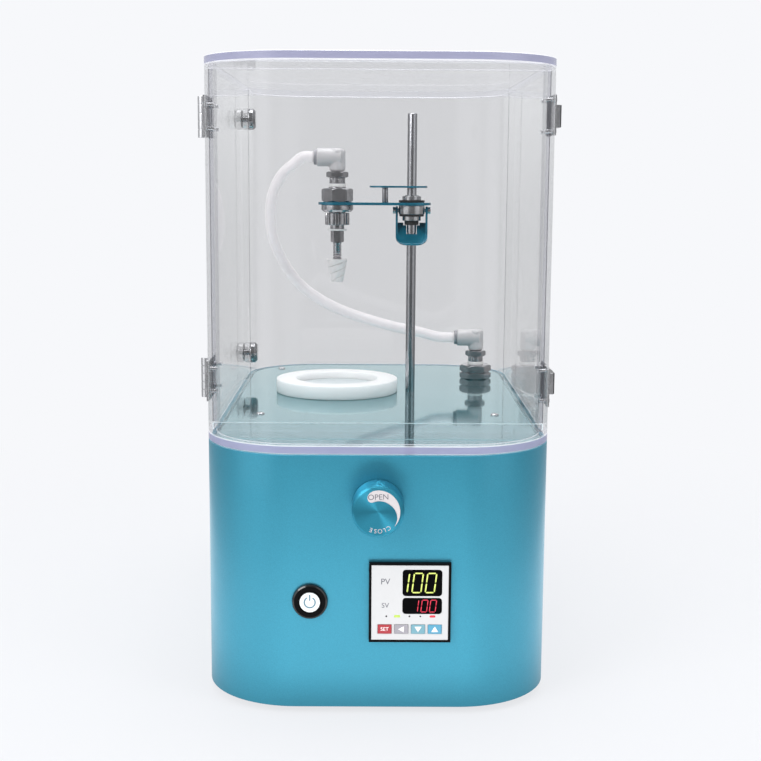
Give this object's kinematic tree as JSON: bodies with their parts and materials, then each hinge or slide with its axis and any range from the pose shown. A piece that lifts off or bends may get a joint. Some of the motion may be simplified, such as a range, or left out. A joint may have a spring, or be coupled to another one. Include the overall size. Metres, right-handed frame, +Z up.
{
  "type": "evaporative concentrator",
  "caption": "Bench-top vacuum evaporative concentrator: painted body with valve knob, button and controller, heated seat, height-adjustable plug arm and clear cover with hinged door.",
  "frame": {"origin": "middle of the footprint on the surface that the feet stand on", "axes": "+Z up, front with the knob towards -Y, +X to the right as seen from the front"},
  "size_m": [0.2216, 0.414, 0.384],
  "materials": {
    "painted_shell": "metallic teal-blue satin paint with fine grain",
    "deck_metal": "glossy pale blue paint",
    "sheet_steel": "plated sheet",
    "rubber": "matt",
    "screw_steel": "plated",
    "heater_alloy": "bead blasted",
    "heater_film": "amber film",
    "insulation": "pressed fibre",
    "white_plastic": "white, satin",
    "bright_steel": "polished",
    "dark_nickel": "nickel plated",
    "silver_metal": "turned",
    "tube": "milky translucent",
    "black_plastic": "moulded",
    "face_print": "white printed film",
    "display_glass": "smoked window",
    "clear_acrylic": "clear acrylic sheet with bright edges",
    "hinge_steel": "polished",
    "catch_plastic": "moulded",
    "clamp_chrome": "polished",
    "knob_metal": "turned and anodised teal",
    "lit_cap": "white, lit from behind",
    "key_red": "soft key",
    "key_grey": "soft key",
    "key_teal": "soft key",
    "key_blue": "soft key",
    "teal_plate": "glossy dark teal"
  },
  "bodies": {
    "base": {"base_plate": "sheet_steel", "rubber_feet": "rubber", "body_shell": "painted_shell", "deck_plate": "deck_metal", "deck_posts": "sheet_steel", "deck_screws": "screw_steel", "heater_block": "heater_alloy", "heater_element": "heater_film", "heater_insulation": "insulation", "heater_ring": "white_plastic", "temperature_probe": "bright_steel", "support_rod": "bright_steel", "deck_nuts": "silver_metal", "port_bulkhead": "dark_nickel", "port_gasket": "white_plastic", "port_adapter": "dark_nickel", "port_elbow": "white_plastic", "valve_body": "silver_metal", "internal_tubes": "tube", "vacuum_outlet": "white_plastic", "power_inlet": "black_plastic", "heater_relay": "sheet_steel", "controller_case": "black_plastic", "controller_face": "face_print", "display_windows": "display_glass", "button_housing": "black_plastic", "cover_sides": "clear_acrylic", "cover_rear": "clear_acrylic", "cover_top": "clear_acrylic", "cover_hinges": "hinge_steel", "cover_catches": "catch_plastic", "cover_screws": "screw_steel", "panel_clamps": "clamp_chrome", "vacuum_hose": "tube"},
    "door": {"door_wall": "clear_acrylic", "door_top": "clear_acrylic", "door_bottom": "clear_acrylic", "door_hinges": "hinge_steel", "door_strikes": "hinge_steel", "door_screws": "screw_steel"},
    "knob": {"valve_knob": "knob_metal", "valve_spindle": "bright_steel"},
    "power_cap": {"button_cap": "lit_cap"},
    "set": {"set_key": "key_red"},
    "shift": {"shift_key": "key_grey"},
    "down": {"down_key": "key_teal"},
    "up": {"up_key": "key_blue"},
    "carriage": {"clamp_collar": "silver_metal", "collar_rings": "black_plastic", "collar_fasteners": "screw_steel"},
    "lever": {"release_lever": "teal_plate"},
    "arm": {"arm_plates": "teal_plate", "finger_post": "bright_steel", "union_body": "dark_nickel", "union_nuts": "dark_nickel", "plug_stem": "dark_nickel", "arm_seals": "white_plastic", "spiral_plug": "white_plastic", "plug_adapter": "dark_nickel", "plug_elbow": "white_plastic"}
  },
  "joints": [
    {"name": "door_hinge", "type": "hinge", "parent": "base", "child": "door", "pos_m": [-0.1076, -0.114, 0.27], "axis": [0, 0, -1], "range_deg": [0, 180]},
    {"name": "valve_turn", "type": "hinge", "parent": "base", "child": "knob", "pos_m": [0, -0.189, 0.1272], "axis": [0, 1, 0], "range_deg": [0, 180]},
    {"name": "power_press", "type": "slide", "parent": "base", "child": "power_cap", "axis": [0, 1, 0], "range_m": [0, 0.0025], "stiffness_N_per_m": 800},
    {"name": "set_press", "type": "slide", "parent": "base", "child": "set", "axis": [0, 1, 0], "range_m": [0, 0.0004], "stiffness_N_per_m": 600},
    {"name": "shift_press", "type": "slide", "parent": "base", "child": "shift", "axis": [0, 1, 0], "range_m": [0, 0.0004], "stiffness_N_per_m": 600},
    {"name": "down_press", "type": "slide", "parent": "base", "child": "down", "axis": [0, 1, 0], "range_m": [0, 0.0004], "stiffness_N_per_m": 600},
    {"name": "up_press", "type": "slide", "parent": "base", "child": "up", "axis": [0, 1, 0], "range_m": [0, 0.0004], "stiffness_N_per_m": 600},
    {"name": "arm_slide", "type": "slide", "parent": "base", "child": "carriage", "axis": [0, 0, 1], "range_m": [-0.065, 0.04], "deforming": ["vacuum_hose"]},
    {"name": "arm_swivel", "type": "hinge", "parent": "carriage", "child": "arm", "pos_m": [0.0245, 0.046, 0.294], "axis": [0, 0, 1], "range_deg": [-40, 40], "deforming": ["vacuum_hose"]},
    {"name": "lever_tilt", "type": "hinge", "parent": "carriage", "child": "lever", "pos_m": [0.0245, 0.046, 0.2901], "axis": [-1, 0, 0], "range_deg": [0, 12], "stiffness_Nm_per_rad": 0.4, "springref_deg": -8.59}
  ]
}
